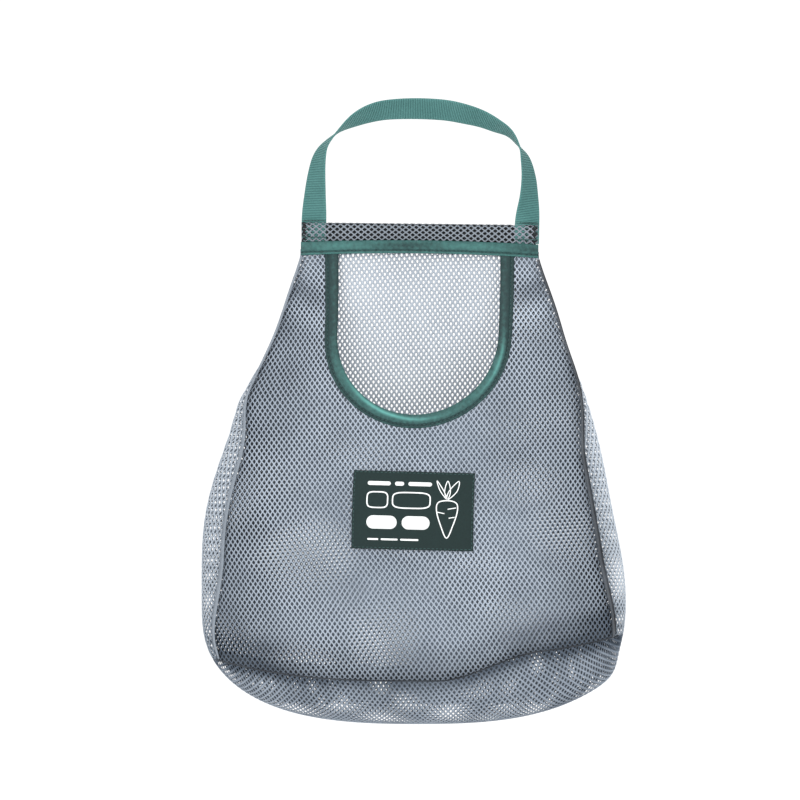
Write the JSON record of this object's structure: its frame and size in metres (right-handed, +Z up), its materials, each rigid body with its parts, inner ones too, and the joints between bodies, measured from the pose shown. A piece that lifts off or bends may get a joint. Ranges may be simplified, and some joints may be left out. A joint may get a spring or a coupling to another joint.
{
  "type": "mesh produce bag",
  "caption": "Soft net bag with a sewn header, a looped webbing handle, a round-footed front mouth bound with tape, a curved bottom panel and a small sewn label.",
  "frame": {"origin": "middle of the flat underside of the handle's crown, where a hook carries the bag", "axes": "+Z up along the hanging bag, +X to the right as the front is faced, -Y out of the front, where the mouth and the label are"},
  "size_m": [0.2788, 0.0701, 0.41],
  "materials": {
    "body_net": "knitted polyester net, open diamond holes, soft grey",
    "header_net": "the same net in several layers, its holes lying on their sides",
    "binding_tape": "satin tape folded over the edge, green, with a soft sheen",
    "webbing": "ribbed webbing, green, matte",
    "woven_label": null,
    "thread": "sewing thread, dark green",
    "seam_edge": "turned-in net edge, overlocked in grey thread"
  },
  "bodies": {
    "handle": {"handle_strap": "webbing"},
    "bag": {"left_strap_end": "webbing", "right_strap_end": "webbing", "left_strap_stitch": "thread", "right_strap_stitch": "thread", "left_side_seam": "seam_edge", "right_side_seam": "seam_edge", "front_bottom_seam": "seam_edge", "back_bottom_seam": "seam_edge", "header_front": "header_net", "header_back": "header_net", "header_tape_front": "binding_tape", "header_tape_back": "binding_tape", "header_thread_front": "thread", "header_thread_back": "thread", "front_panel": "body_net", "back_panel": "body_net", "bottom_panel": "body_net", "mouth_binding": "binding_tape", "mouth_thread": "thread", "label": "woven_label", "label_thread": "thread"}
  },
  "joints": [
    {"name": "handle_fold", "type": "hinge", "parent": "handle", "child": "bag", "pos_m": [0, 0.00048, -0.07154], "axis": [1, 0, 0], "range_deg": [-140, 140]}
  ]
}
